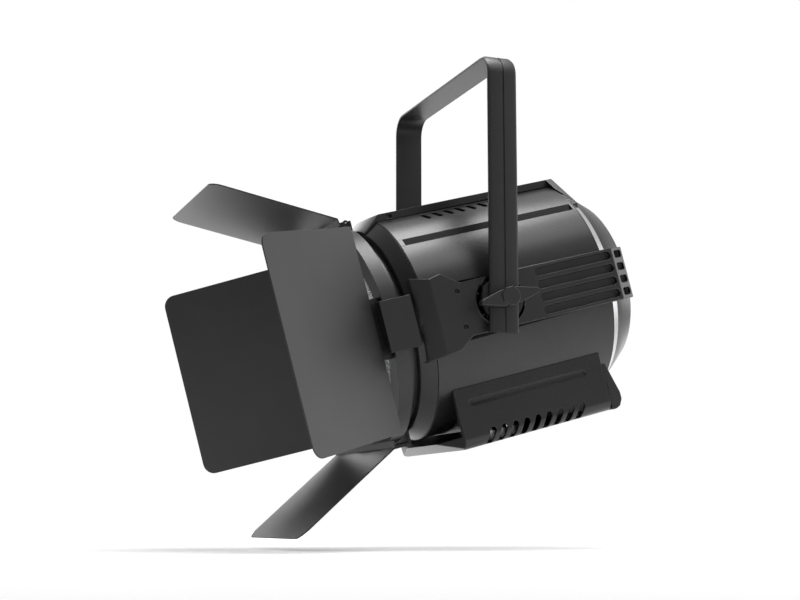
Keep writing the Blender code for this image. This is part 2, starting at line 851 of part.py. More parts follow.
def make_barn_doors(housing):
    axis = empty("ring_axis", housing)
    make_ring(axis)
    for name, degrees in STATIONS:
        place = station(f"leaf_station_{name}", degrees, axis)
        make_bracket(name, place)
        half, length = SIDE_LEAF if name in ("right", "left") else END_LEAF
        make_leaf(name, place, half - 0.0006, half, length, LEAF_OPEN[name])


# ---- optics and cooling inside the housing ------------------------------------------------------


def make_lens(housing):
    carriage_axis = empty("lens_carriage_axis", housing)
    seat = LENS_BACK
    rear, front, ledge = seat + 0.010, seat - 0.008, seat + 0.002
    outer = [(0.1105, rear), (0.1105, front)]
    inner = [(0.1045, front), (0.1045, ledge), (0.098, ledge), (0.098, rear)]
    carriage = piece("lens_carriage", turned(outer + inner), "black_plastic", carriage_axis)
    bore = ROD_RADIUS + BORE_GAP
    for _, side in sides():
        join(carriage, mirrored((0.107, seat, -0.008), (0.1225, rear, 0.008), side))
        cut(carriage, rod("y", seat - 0.01, seat + 0.02, bore, at=(side * ROD_OFFSET, 0)))
    join(carriage, box((-0.008, seat, -0.1225), (0.008, rear, -0.107)))
    cut(carriage, rod("y", seat - 0.01, seat + 0.02, bore, at=(0, SCREW_OFFSET)))

    rim, height = seat - 0.004, 0.012
    angles = [radians(a) for a in range(75, 0, -15)]
    dome = [(LENS_RADIUS * sin(a), rim - height * cos(a)) for a in angles]
    edge = [(0.0, seat + 0.0015), (LENS_RADIUS, seat + 0.0015), (LENS_RADIUS, rim)]
    piece("front_lens", turned(edge + dome + [(0.0, rim - height)]), "glass", carriage_axis)


def make_drive(housing):
    for name, side in sides():
        piece(
            f"guide_rod_{name}",
            rod("y", ROD_FRONT, BULKHEAD_Y - GAP, ROD_RADIUS, at=(side * ROD_OFFSET, 0)),
            "bright_steel",
            housing,
        )
    screw_axis = empty("lead_screw_axis", housing, (0, 0, SCREW_OFFSET))
    piece("lead_screw", rod("y", ROD_FRONT, -GAP, ROD_RADIUS), "bright_steel", screw_axis)
    motor = rod("y", 0.0, 0.032, 0.0120, at=(0, SCREW_OFFSET), segments=32)
    piece("zoom_motor", motor, "black_steel", housing)


def make_engine(housing):
    outer, inner, back = 0.1262, 0.030, BULKHEAD_Y + 0.003
    plate = [(outer, back), (outer, BULKHEAD_Y), (inner, BULKHEAD_Y), (inner, back)]
    bulkhead = piece("bulkhead_plate", turned(plate), "bare_aluminium", housing)
    cut(bulkhead, rod("y", -0.02, 0.02, ROD_RADIUS + BORE_GAP, at=(0, SCREW_OFFSET)))
    cut(bulkhead, rod("y", -0.02, 0.02, CABLE_HOLE, at=(0, 0.095)))
    board = rod("y", -0.0085, back - 0.0002, inner - 0.001, segments=40)
    piece("led_board", board, "led_white", housing)
    cup = [(0.0300, -0.0092), (0.0420, -0.0270), (0.0405, -0.0270), (0.0180, -0.0092)]
    piece("reflector_cup", turned(cup, 48), "bare_aluminium", housing)
    make_heat_sink(housing, back + GAP)
    make_fan(housing)


def make_heat_sink(housing, start):
    """A base plate with upright fins, as one comb-shaped outline."""
    half, base, tip, fin, pitch = 0.072, 0.008, 0.060, 0.003, 0.0115
    root = start + base
    count = 6
    fins = []
    for i in range(count, -count - 1, -1):
        right, left = i * pitch + fin / 2, i * pitch - fin / 2
        fins += [(right, root), (right, tip), (left, tip), (left, root)]
    outline = [(-half, start), (half, start), (half, root)] + fins + [(-half, root)]
    piece("heat_sink", prism("xy", outline, -0.072, 0.072), "bare_aluminium", housing, smooth=False)


def make_fan(housing):
    half, start, end = 0.060, 0.064, 0.089
    fan = piece("fan_frame", box((-half, start, -half), (half, end, half)), "black_plastic", housing)
    cut(fan, rod("y", start - 0.01, end - 0.004, 0.0565, segments=48))
    cut(fan, *fan_windows(end))
    axis = empty("fan_axis", housing)
    hub = rod("y", start + 0.003, end - 0.0045, 0.020, segments=32)
    rotor = piece("fan_rotor", hub, "black_plastic", axis)
    pitch = Matrix.Rotation(radians(38), 4, "X")
    for i in range(BLADES):
        blade = box((0.017, -0.009, -0.0008), (0.0545, 0.009, 0.0008))
        turn = Matrix.Rotation(2 * pi * i / BLADES, 4, "Y")
        join(rotor, moved(blade, turn @ Matrix.Translation((0, (start + end) / 2 - 0.001, 0)) @ pitch))


def fan_windows(end):
    """Four openings that leave crossed arms behind the rotor."""
    windows = []
    for i in range(4):
        first = 90 * i + 50
        outer = arc((0, 0), 0.0555, first, first + 80, 8)
        inner = arc((0, 0), 0.018, first + 72, first + 8, 4)
        windows.append(prism("xz", outer + inner, end - 0.006, end + 0.002))
    return windows


# ---- power and control --------------------------------------------------------------------------

PANEL_FRONT = 0.1780
PANEL_BACK = 0.1815


def make_electronics(housing):
    piece("driver_board", box((-0.060, -0.040, -0.1348), (0.060, 0.100, -0.1328)), "circuit_board", housing)
    piece("control_board", box((-0.040, 0.160, 0.010), (0.040, 0.1625, 0.070)), "circuit_board", housing)


SOCKETS = (
    # name, x, z, radius
    ("data_in", -0.030, -0.018, 0.0125),
    ("data_out", 0.030, -0.018, 0.0125),
    ("power_in", -0.030, -0.054, 0.0135),
    ("power_out", 0.030, -0.054, 0.0135),
)


def make_panel(housing):
    disc = rod("y", PANEL_FRONT, PANEL_BACK, 0.0955, segments=ROUND)
    panel = piece("rear_panel", disc, "black_steel", housing)
    front, back = PANEL_FRONT - 0.001, PANEL_BACK + 0.001
    left, right, bottom, top = -0.032, 0.032, 0.034, 0.062
    cut(panel, box((left, front, bottom), (right, back, top)))
    low = (left + GAP, PANEL_FRONT, bottom + GAP)
    high = (right - GAP, PANEL_BACK - 0.0005, top - GAP)
    piece("display_window", box(low, high), "display_dark", housing)
    for i, name in enumerate(("menu", "down", "up", "enter")):
        x, z = -0.030 + 0.020 * i, 0.018
        cut(panel, rod("y", front, back, 0.0052, at=(x, z), segments=24))
        axis = empty(f"button_axis_{name}", housing, (x, 0, z))
        cap = rod("y", PANEL_FRONT - 0.002, PANEL_BACK + 0.003, 0.0048, segments=24)
        piece(f"button_{name}", cap, "black_plastic", axis)
    for name, x, z, radius in SOCKETS:
        cut(panel, rod("y", front, back, radius + GAP, at=(x, z), segments=32))
        body = rod("y", 0.165, PANEL_BACK + 0.0012, radius, at=(x, z), segments=32)
        socket = piece(f"{name}_socket", body, "black_plastic", housing)
        cut(socket, rod("y", 0.172, 0.19, radius - 0.0028, at=(x, z), segments=24))


def make_safety_loop(housing):
    """A bent wire eye on the rear ring, for the safety cable."""
    curve = bpy.data.curves.new("loop", "CURVE")
    curve.dimensions = "3D"
    curve.bevel_depth = 0.0022
    curve.bevel_resolution = 2
    curve.use_fill_caps = True
    foot, middle, radius = PANEL_BACK + GAP, 0.189, 0.012
    points = [(-radius, foot)] + arc((0, middle), radius, 180, 0, 8) + [(radius, foot)]
    spline = curve.splines.new("POLY")
    spline.points.add(len(points) - 1)
    for point, (x, y) in zip(spline.points, points):
        point.co = (x, y, 0.082, 1)
    shape = bpy.data.objects.new("loop", curve)
    CUTTERS.objects.link(shape)
    bm = bmesh.new()
    bm.from_mesh(evaluated_mesh(shape))
    bpy.data.objects.remove(shape, do_unlink=True)
    bmesh.ops.remove_doubles(bm, verts=bm.verts, dist=0.000005)
    piece("safety_loop", mesh_of(bm), "bright_steel", housing)


def main():
    make_yoke()
    make_knobs()
    housing = empty("tilt_axis", location=(0, 0, -YOKE_HEIGHT), rotation=(radians(TILT_DEG), 0, 0))
    make_shell(housing)
    make_spine(housing)
    make_rear(housing)
    make_bezel(housing)
    make_pivots(housing)
    make_base(housing)
    make_base_rear(housing)
    make_clips(housing)
    make_latch(housing)
    make_barn_doors(housing)
    make_lens(housing)
    make_drive(housing)
    make_engine(housing)
    make_electronics(housing)
    make_panel(housing)
    make_safety_loop(housing)


main()
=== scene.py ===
"""The looks of the stage light: studio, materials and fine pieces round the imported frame."""

import json
from math import asin, atan2, cos, degrees, pi, radians, sin

import bmesh
import bpy
from mathutils import Matrix, Vector


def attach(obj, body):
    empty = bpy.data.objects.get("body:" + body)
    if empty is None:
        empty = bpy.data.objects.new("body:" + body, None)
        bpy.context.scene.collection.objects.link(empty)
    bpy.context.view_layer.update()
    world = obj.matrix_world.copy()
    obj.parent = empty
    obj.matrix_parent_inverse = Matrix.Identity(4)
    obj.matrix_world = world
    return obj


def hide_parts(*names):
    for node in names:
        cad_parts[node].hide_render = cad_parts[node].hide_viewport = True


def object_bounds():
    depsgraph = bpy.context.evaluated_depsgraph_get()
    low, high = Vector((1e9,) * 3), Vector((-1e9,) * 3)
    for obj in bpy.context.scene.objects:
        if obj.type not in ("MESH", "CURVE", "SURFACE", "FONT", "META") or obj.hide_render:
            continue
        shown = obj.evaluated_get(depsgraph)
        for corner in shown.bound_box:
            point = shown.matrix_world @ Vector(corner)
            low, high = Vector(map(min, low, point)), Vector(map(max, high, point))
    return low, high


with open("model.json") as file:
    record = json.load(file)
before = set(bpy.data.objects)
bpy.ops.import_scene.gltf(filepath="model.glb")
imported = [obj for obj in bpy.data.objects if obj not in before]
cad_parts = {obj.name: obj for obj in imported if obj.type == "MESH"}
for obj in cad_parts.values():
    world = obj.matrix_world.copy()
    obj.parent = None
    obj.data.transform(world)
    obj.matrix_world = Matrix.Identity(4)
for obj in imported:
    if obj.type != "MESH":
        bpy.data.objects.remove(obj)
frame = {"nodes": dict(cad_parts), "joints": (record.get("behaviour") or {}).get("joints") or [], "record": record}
cad_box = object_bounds()
NODES = frame["nodes"]
JOINTS = {joint["name"]: joint for joint in frame["joints"]}
BODIES = frame["record"]["behaviour"]["bodies"]
BODY_OF = {node: body for body, nodes in BODIES.items() for node in nodes}

# ---- frames of reference ---------------------------------------------------------------------------

PIVOT = Vector(JOINTS["tilt"]["pos_m"])
LIGHT_AXIS = Vector(JOINTS["ring_turn"]["axis"])
REARWARD = LIGHT_AXIS if LIGHT_AXIS.y > 0 else -LIGHT_AXIS
TILT = atan2(REARWARD.z, REARWARD.y)
# The housing is drawn with x to the right, y rearward along the light axis and z towards the spine.
HOUSING = Matrix.Translation(PIVOT) @ Matrix.Rotation(TILT, 4, "X")
WORLD = Matrix.Identity(4)

# ---- sizes -----------------------------------------------------------------------------------------

GAP = 0.0003
SHELL_RADIUS = 0.131
SHELL_WALL = 0.0044
SHELL_FRONT = -0.084
SHELL_REAR = 0.142
BEZEL_FRONT = -0.101
BEZEL_RADIUS = 0.120
SNOUT_FRONT = -0.112
SNOUT_RADIUS = 0.112
MOUTH_RADIUS = 0.108
SPINE_TOP = 0.1315
SPINE_HALF = 0.046
SPINE_FLAT = 0.1282
SPINE_SLOPE = 0.833
NOTCH_TOP = 45.0
NOTCH_BOTTOM = 40.2
SLOT_COUNT = 8
SLOT_PITCH = 0.0146
SLOT_FIRST = -0.0287
SLOT_SIZE = (0.0175, 0.0056)
SLOT_LEAN = 17
SLOT_ROUND_SHELL = 27.3
# (radius, y) where the rear ring's slope changes
CONE_BAND = (0.1215, 0.1495)
CONE_KNEE = (0.1168, 0.163)
CONE_END = (0.1005, 0.185)
CONE_WALL = 0.003
PANEL_RADIUS = 0.089
PANEL_BACK = 0.1815

ARM_FACE = 0.138
ARM_CREASE = -0.077
ARM_FRONT = -0.095
ARM_TOP = 0.0285
ARM_BOTTOM = -0.0318
ARM_REAR = 0.150
ARM_END = 0.174
ARM_INSIDE = 0.108
ARM_FLOOR = 0.1205
ARM_GROOVES = (0.0209, 0.0062, -0.0086, -0.0232)
ARM_HOLES = (-0.020, 0.020)
ARM_HOLE_Y = -0.048
BOSS_RADIUS = 0.0295
BOSS_RIBS = 14
STUD_SEAT = 0.1325
STUD_BORE = 0.0053
KNOB_LEAN = 15
KNOB_REACH = 0.036

BASE_HALF = 0.101
BASE_TOP = -0.080
BASE_BOTTOM = -0.152
BASE_FRONT = -0.0825
BASE_SHOULDER = -0.0665
BASE_NOSE_HALF = 0.036
BASE_REAR = 0.1225
BASE_WALL = 0.003
VENT_COUNT = 9
VENT_PITCH = 0.0144
VENT_FIRST = -0.0345
VENT_SIZE = (0.0260, 0.0066)
VENT_LEAN = -28

LENS_RADIUS = 0.104
LENS_SEAT = -0.080
LENS_ZONES = 16
ZONE_LEAST = 0.0006
ZONE_RISE = 0.0042
ROUND = 144
WELD = 0.00002

# ---- mesh helpers ----------------------------------------------------------------------------------


def evaluated(obj):
    bpy.context.view_layer.update()
    graph = bpy.context.evaluated_depsgraph_get()
    return bpy.data.meshes.new_from_object(obj.evaluated_get(graph))


def shaped(data, *modifiers):
    """The mesh of a curve or mesh after these (type, settings) modifiers."""
    obj = bpy.data.objects.new("shape", data)
    bpy.context.scene.collection.objects.link(obj)
    for kind, settings in modifiers:
        modifier = obj.modifiers.new(kind.lower(), kind)
        for key, value in settings.items():
            setattr(modifier, key, value)
    mesh = evaluated(obj)
    bpy.data.objects.remove(obj, do_unlink=True)
    return mesh


def mesh_of(bm):
    mesh = bpy.data.meshes.new("shape")
    bm.to_mesh(mesh)
    bm.free()
    return mesh


def moved(mesh, matrix):
    mesh.transform(matrix)
    return mesh


def together(meshes):
    """Meshes that don't touch, in one."""
    bm = bmesh.new()
    for mesh in meshes:
        bm.from_mesh(mesh)
    return mesh_of(bm)


def combined(mesh, tool, operation):
    """The mesh after one Boolean operation."""
    helper = bpy.data.objects.new("tool", tool)
    bpy.context.scene.collection.objects.link(helper)
    result = shaped(mesh, ("BOOLEAN", {"operation": operation, "object": helper}))
    bpy.data.objects.remove(helper, do_unlink=True)
    return result


def cut(mesh, *tools):
    for tool in tools:
        mesh = combined(mesh, tool, "DIFFERENCE")
    return mesh


def join(mesh, *tools):
    for tool in tools:
        mesh = combined(mesh, tool, "UNION")
    return mesh


def box(low, high):
    bm = bmesh.new()
    bmesh.ops.create_cube(bm, size=1)
    bmesh.ops.scale(bm, vec=[b - a for a, b in zip(low, high)], verts=bm.verts)
    bmesh.ops.translate(bm, vec=[(a + b) / 2 for a, b in zip(low, high)], verts=bm.verts)
    return mesh_of(bm)


AXIS_TURN = {
    "x": Matrix.Rotation(pi / 2, 4, "Y"),
    "y": Matrix.Rotation(-pi / 2, 4, "X"),
    "z": Matrix.Identity(4),
}


def rod(axis, start, end, radius, at=(0, 0), segments=48):
    """A cylinder along an axis. at holds its two other coordinates, in x, y, z order."""
    bm = bmesh.new()
    bmesh.ops.create_cone(
        bm, cap_ends=True, segments=segments, radius1=radius, radius2=radius, depth=end - start
    )
    middle = list(at)
    middle.insert("xyz".index(axis), (start + end) / 2)
    bmesh.ops.transform(bm, matrix=Matrix.Translation(middle) @ AXIS_TURN[axis], verts=bm.verts)
    return mesh_of(bm)


def turned(profile, segments=ROUND):
    """A form about the y axis, from (radius, y) points. It closes on itself or on the axis."""
    bm = bmesh.new()
    points = [bm.verts.new((radius, y, 0)) for radius, y in profile]
    on_axis = min(radius for radius, _ in profile) < 1e-6
    loop = points if on_axis else points + points[:1]
    for first, second in zip(loop, loop[1:]):
        bm.edges.new((first, second))
    turn = {"axis": "Y", "steps": segments, "render_steps": segments, "use_merge_vertices": True}
    mesh = shaped(mesh_of(bm), ("SCREW", {**turn, "merge_threshold": 0.00001}))
    bm = bmesh.new()
    bm.from_mesh(mesh)
    bmesh.ops.recalc_face_normals(bm, faces=bm.faces)
    return mesh_of(bm)


OUTLINE_PLANES = {
    # outline (x, z), pushed along y; outline (y, z), pushed along x; outline (x, y), pushed along z
    "xz": Matrix(((1, 0, 0, 0), (0, 0, -1, 0), (0, 1, 0, 0), (0, 0, 0, 1))),
    "yz": Matrix(((0, 0, 1, 0), (1, 0, 0, 0), (0, 1, 0, 0), (0, 0, 0, 1))),
    "xy": Matrix.Identity(4),
}


def prism(plane, outline, start, end):
    """A flat outline with thickness, from start to end along the axis that its plane leaves."""
    bm = bmesh.new()
    face = bm.faces.new([bm.verts.new((a, b, start)) for a, b in outline])
    pushed = bmesh.ops.extrude_face_region(bm, geom=[face])["geom"]
    tops = [item for item in pushed if isinstance(item, bmesh.types.BMVert)]
    bmesh.ops.translate(bm, vec=(0, 0, end - start), verts=tops)
    turn = OUTLINE_PLANES[plane]
    if plane == "xz":
        turn = turn @ Matrix.Translation((0, 0, -start - end))
    bmesh.ops.transform(bm, matrix=turn, verts=bm.verts)
    bmesh.ops.recalc_face_normals(bm, faces=bm.faces)
    return mesh_of(bm)


def arc(centre, radius, start, end, steps):
    """Points on an arc, from start to end in degrees, with this many steps between them."""
    angles = [radians(start + (end - start) * i / steps) for i in range(steps + 1)]
    return [(centre[0] + radius * cos(a), centre[1] + radius * sin(a)) for a in angles]


def stadium(length, width, steps=8):
    """A round-ended slot outline, long along its first axis."""
    radius, reach = width / 2, (length - width) / 2
    return arc((reach, 0), radius, -90, 90, steps) + arc((-reach, 0), radius, 90, 270, steps)


def rounded(length, width, radius):
    """A rectangle with round corners, centred on the origin."""
    x, y = length / 2 - radius, width / 2 - radius
    corners = (((x, -y), -90), ((x, y), 0), ((-x, y), 90), ((-x, -y), 180))
    return [point for centre, turn in corners for point in arc(centre, radius, turn, turn + 90, 4)]


def sides():
    return (("right", 1), ("left", -1))


def span(low, high, side):
    """Start and end of a stretch along x, on the side wanted."""
    return (low, high) if side > 0 else (-high, -low)


def mirrored(low, high, side):
    """A box given for the right side, moved to the side wanted."""
    if side > 0:
        return box(low, high)
    return box((-high[0], low[1], low[2]), (-low[0], high[1], high[2]))


# ---- materials -------------------------------------------------------------------------------------


def new_material(name):
    material = bpy.data.materials.new(name)
    material.use_nodes = True
    tree = material.node_tree
    return material, tree, tree.nodes["Principled BSDF"]


def noise(tree, size, detail=3, stretch=(1, 1, 1)):
    """A noise whose grains are about this many metres wide, in the object's own space."""
    place = tree.nodes.new("ShaderNodeTexCoord")
    scale = tree.nodes.new("ShaderNodeMapping")
    scale.inputs["Scale"].default_value = stretch
    grains = tree.nodes.new("ShaderNodeTexNoise")
    grains.inputs["Scale"].default_value = 1 / size
    grains.inputs["Detail"].default_value = detail
    tree.links.new(place.outputs["Object"], scale.inputs["Vector"])
    tree.links.new(scale.outputs["Vector"], grains.inputs["Vector"])
    return grains.outputs["Fac"]


def ranged(tree, value, low, high, start=0.3, end=0.7):
    """A value that runs from low to high as the one given runs from start to end."""
    scale = tree.nodes.new("ShaderNodeMapRange")
    scale.inputs["From Min"].default_value = start
    scale.inputs["From Max"].default_value = end
    scale.inputs["To Min"].default_value = low
    scale.inputs["To Max"].default_value = high
    tree.links.new(value, scale.inputs["Value"])
    return scale.outputs["Result"]


def blended(tree, value, first, second):
    """A colour between two, by a value from 0 to 1."""
    ramp = tree.nodes.new("ShaderNodeValToRGB")
    ramp.color_ramp.elements[0].position = 0.3
    ramp.color_ramp.elements[1].position = 0.7
    ramp.color_ramp.elements[0].color = (*first, 1)
    ramp.color_ramp.elements[1].color = (*second, 1)
    tree.links.new(value, ramp.inputs["Fac"])
    return ramp.outputs["Color"]


def bumped(tree, shader, value, strength, distance):
    bump = tree.nodes.new("ShaderNodeBump")
    bump.inputs["Strength"].default_value = strength
    bump.inputs["Distance"].default_value = distance
    tree.links.new(value, bump.inputs["Height"])
    tree.links.new(bump.outputs["Normal"], shader.inputs["Normal"])


def coated(name, color, roughness, grain, bump, metallic=0.0, stretch=(1, 1, 1), spread=0.04):
    """Paint, moulded plastic or metal: uneven tone, uneven gloss and a fine surface grain."""
    material, tree, shader = new_material(name)
    patches = noise(tree, 0.045, 2)
    dark = [0.88 * c for c in color]
    light = [1.12 * c for c in color]
    tree.links.new(blended(tree, patches, dark, light), shader.inputs["Base Color"])
    grains = noise(tree, grain, 3, stretch)
    gloss = ranged(tree, grains, roughness - spread, roughness + spread)
    tree.links.new(gloss, shader.inputs["Roughness"])
    bumped(tree, shader, grains, bump, 0.0002)
    shader.inputs["Metallic"].default_value = metallic
    return material


def lens_glass():
    material, tree, shader = new_material("lens_glass")
    smears = noise(tree, 0.03, 2)
    tree.links.new(ranged(tree, smears, 0.10, 0.20), shader.inputs["Roughness"])
    tint = blended(tree, smears, (0.86, 0.89, 0.90), (0.93, 0.95, 0.95))
    tree.links.new(tint, shader.inputs["Base Color"])
    shader.inputs["IOR"].default_value = 1.49
    shader.inputs["Transmission Weight"].default_value = 0.45
    return material


def patterned(name, row, gap_color, tile_color, other_color, roughness):
    """Small tiles in rows: chips on a board, or the tracks and lands of a circuit."""
    material, tree, shader = new_material(name)
    place = tree.nodes.new("ShaderNodeTexCoord")
    bricks = tree.nodes.new("ShaderNodeTexBrick")
    bricks.inputs["Scale"].default_value = 1 / row
    bricks.inputs["Mortar Size"].default_value = 0.06
    bricks.inputs["Color1"].default_value = (*tile_color, 1)
    bricks.inputs["Color2"].default_value = (*other_color, 1)
    bricks.inputs["Mortar"].default_value = (*gap_color, 1)
    tree.links.new(place.outputs["Object"], bricks.inputs["Vector"])
    tree.links.new(bricks.outputs["Color"], shader.inputs["Base Color"])
    grains = noise(tree, 0.001)
    tree.links.new(ranged(tree, grains, roughness - 0.05, roughness + 0.05), shader.inputs["Roughness"])
    bumped(tree, shader, bricks.outputs["Fac"], 0.3, 0.0002)
    return material


def make_materials():
    powder = 0.0009
    return {
        "yoke_steel": coated("yoke_steel", (0.015, 0.015, 0.0153), 0.40, powder, 0.04),
        "cast_black": coated("cast_black", (0.013, 0.013, 0.0133), 0.30, powder, 0.06),
        "leaf_steel": coated("leaf_steel", (0.016, 0.016, 0.0163), 0.38, powder, 0.05),
        "black_plastic": coated("black_plastic", (0.013, 0.013, 0.0135), 0.42, 0.0005, 0.14),
        "black_steel": coated("black_steel", (0.018, 0.018, 0.019), 0.38, 0.0006, 0.10, 0.4),
        "bright_steel": coated("bright_steel", (0.55, 0.55, 0.57), 0.26, 0.0006, 0.05, 1.0, (1, 8, 8)),
        "bare_aluminium": coated("bare_aluminium", (0.46, 0.46, 0.475), 0.34, 0.0008, 0.08, 1.0, (8, 1, 8)),
        "rubber": coated("rubber", (0.014, 0.014, 0.014), 0.78, 0.0007, 0.25),
        "lens_glass": lens_glass(),
        "circuit_board": patterned(
            "circuit_board", 0.012, (0.30, 0.22, 0.06), (0.010, 0.09, 0.03), (0.008, 0.06, 0.02), 0.45
        ),
        "led_white": patterned(
            "led_white", 0.014, (0.75, 0.75, 0.72), (0.80, 0.62, 0.14), (0.82, 0.66, 0.20), 0.40
        ),
        "display_dark": patterned(
            "display_dark", 0.002, (0.004, 0.005, 0.007), (0.010, 0.013, 0.020), (0.009, 0.012, 0.018), 0.12
        ),
    }


SLOT_OF = {node: obj.data.materials[0].name for node, obj in NODES.items()}
MATERIAL = make_materials()

# ---- pieces ----------------------------------------------------------------------------------------


def cleaned(mesh, place):
    """The mesh in the row frame, with doubled points, stray edges and flat joints taken out."""
    bm = bmesh.new()
    bm.from_mesh(mesh)
    bmesh.ops.transform(bm, matrix=place, verts=bm.verts)
    bmesh.ops.remove_doubles(bm, verts=bm.verts, dist=WELD)
    bmesh.ops.dissolve_degenerate(bm, edges=bm.edges, dist=WELD)
    bmesh.ops.dissolve_limit(bm, angle_limit=radians(0.6), verts=bm.verts, edges=bm.edges)
    mesh = mesh_of(bm)
    if "custom_normal" in mesh.attributes:
        mesh.attributes.remove(mesh.attributes["custom_normal"])
    return mesh


def piece(name, mesh, body, slot, stands_for=(), place=HOUSING, bevel=0.0, segments=2):
    """One visible piece: cleaned, its edges rounded, shaded, painted and set on its body."""
    mesh = cleaned(mesh, place)
    if bevel:
        limit = {"limit_method": "ANGLE", "angle_limit": radians(32), "use_clamp_overlap": False}
        mesh = shaped(mesh, ("BEVEL", {**limit, "width": bevel, "segments": segments}))
    obj = bpy.data.objects.new(name, mesh)
    bpy.context.scene.collection.objects.link(obj)
    mesh.materials.clear()
    mesh.materials.append(MATERIAL[slot])
    mesh.shade_smooth()
    mesh.set_sharp_from_angle(angle=radians(50))
    normals = obj.modifiers.new("normals", "WEIGHTED_NORMAL")
    normals.keep_sharp = True
    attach(obj, body)
    if stands_for:
        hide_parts(*stands_for)
    return obj


def refined(node, bevel):
    """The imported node's own shape with rounded edges and smooth curves."""
    mesh = NODES[node].data.copy()
    return piece(f"{node}_fine", mesh, BODY_OF[node], SLOT_OF[node], [node], WORLD, bevel)


def screw_head(radius, height):
    """A domed screw head with a six-sided socket, standing on y = 0 and facing +y."""
    profile = [
        (0.0, height),
        (0.55 * radius, height),
        (0.85 * radius, 0.82 * height),
        (radius, 0.40 * height),
        (radius, 0.0),
        (0.0, 0.0),
    ]
    socket = prism("xz", arc((0, 0), 0.48 * radius, 0, 300, 5), 0.35 * height, 2 * height)
    return cut(turned(profile, 28), socket)


def screws(name, places, radius, body="housing", place=HOUSING):
    """Screw heads as one piece, at (point, direction) places."""
    heads = []
    for point, direction in places:
        turn = Vector((0, 1, 0)).rotation_difference(Vector(direction)).to_matrix().to_4x4()
        heads.append(moved(screw_head(radius, 0.6 * radius), Matrix.Translation(point) @ turn))
    return piece(name, together(heads), body, "black_steel", place=place)


# ---- housing ---------------------------------------------------------------------------------------


def clipped_circle(radius, flat_top, steps=ROUND):
    """A circle with its top cut off flat, as an (x, z) outline."""
    start = 180 - degrees(asin(flat_top / radius))
    return arc((0, 0), radius, start, 540 - start, steps)


def cone_profile(grow=0.0):
    """The rear ring's slopes, from its rear rim to the shell."""
    return [
        (CONE_END[0] + grow, CONE_END[1]),
        (CONE_KNEE[0] + grow, CONE_KNEE[1]),
        (CONE_BAND[0] + grow, CONE_BAND[1]),
        (SHELL_RADIUS + grow, SHELL_REAR + GAP),
    ]


def shell_body():
    outline = clipped_circle(SHELL_RADIUS + GAP, SPINE_FLAT - GAP)
    return prism("xz", outline, SHELL_FRONT - GAP, SHELL_REAR + GAP)


def bezel_body():
    grown, rear = BEZEL_RADIUS + 2 * GAP, SHELL_FRONT + GAP
    outer = [(0.0, rear), (SHELL_RADIUS + 2 * GAP, rear), (grown, BEZEL_FRONT)]
    return turned(outer + [(grown, -0.15), (0.0, -0.15)])


def rear_body():
    return turned([(0.0, 0.20), (CONE_END[0], 0.20)] + cone_profile(2 * GAP) + [(0.0, 0.1300)])


def notch_points(side):
    """The step along the shell: its upper edge, its inner corner and its lower edge, as (x, z)."""
    top, low = radians(NOTCH_TOP), radians(NOTCH_BOTTOM)
    upper = (SHELL_RADIUS * cos(top), SHELL_RADIUS * sin(top))
    lower = (SHELL_RADIUS * cos(low), SHELL_RADIUS * sin(low))
    corner = (upper[0] + 0.0020, lower[1])
    return [(side * x, z) for x, z in (upper, corner, lower)]


def shoulder_slots(side):
    """Slanted cooling slots with round ends, down the shell's shoulder beside the spine."""
    lean = Matrix.Rotation(side * radians(SLOT_LEAN), 4, "Z")
    round_shell = Matrix.Rotation(side * radians(SLOT_ROUND_SHELL), 4, "Y")
    slots = []
    for i in range(SLOT_COUNT):
        slot = prism("xy", stadium(*SLOT_SIZE), -0.008, 0.006)
        place = Matrix.Translation((0, SLOT_FIRST + SLOT_PITCH * i, SHELL_RADIUS))
        slots.append(moved(slot, round_shell @ place @ lean))
    return together(slots)


def make_shell():
    """The round shell: flat under the spine, a step and slots down each shoulder, open over the base."""
    inner = SHELL_RADIUS - SHELL_WALL
    ends = [(SHELL_RADIUS, SHELL_REAR), (SHELL_RADIUS, SHELL_FRONT)]
    shell = turned(ends + [(inner, SHELL_FRONT), (inner, SHELL_REAR)])
    shell = cut(shell, box((-0.2, -0.2, SPINE_FLAT - 2 * GAP), (0.2, 0.2, 0.2)))
    for name, side in sides():
        upper, corner, lower = notch_points(side)
        outside, above = 1.06 * lower[0], upper[1] + 0.004
        beyond = [(outside, lower[1]), (outside, above), (upper[0], above)]
        notch = prism("xz", [upper, corner, lower] + beyond, SHELL_FRONT - 0.01, SHELL_REAR - 0.004)
        shell = cut(shell, notch, shoulder_slots(side))
        tab = prism("xz", [upper, corner, lower], SHELL_FRONT + GAP, SHELL_FRONT + 0.0062)
        piece(f"strip_tab_{name}", tab, "housing", "cast_black", bevel=0.0003)
    wire_opening = box((-0.070, -0.050, -0.14), (0.070, 0.100, -0.10))
    shell = cut(shell, wire_opening)
    piece("shell_tube", shell, "housing", "cast_black", ["main_shell"], bevel=0.00045)


def spine_limit():
    """A wide cone that rounds off the spine's front where it runs down over the bezel."""
    rear_radius, far = 0.16, 0.17
    reach = (rear_radius - BEZEL_RADIUS) / SPINE_SLOPE
    rear = [(0.0, far), (rear_radius, far), (rear_radius, BEZEL_FRONT + reach)]
    return turned(rear + [(BEZEL_RADIUS + 0.0018, BEZEL_FRONT), (0.0, BEZEL_FRONT)])


def collar_band():
    """A faceted band behind the shell's rear edge, over its top quarter."""
    foot, drop = 0.0935, 0.012
    right = [(foot, foot - 0.002), (SPINE_HALF, SPINE_TOP)]
    under = [(SPINE_HALF, SPINE_TOP - drop), (foot - 0.004, foot - drop)]
    left = [(-x, z) for x, z in reversed(right)]
    under_left = [(-x, z) for x, z in reversed(under)]
    return prism("xz", right + left + under_left + under, 0.1418, 0.1500)


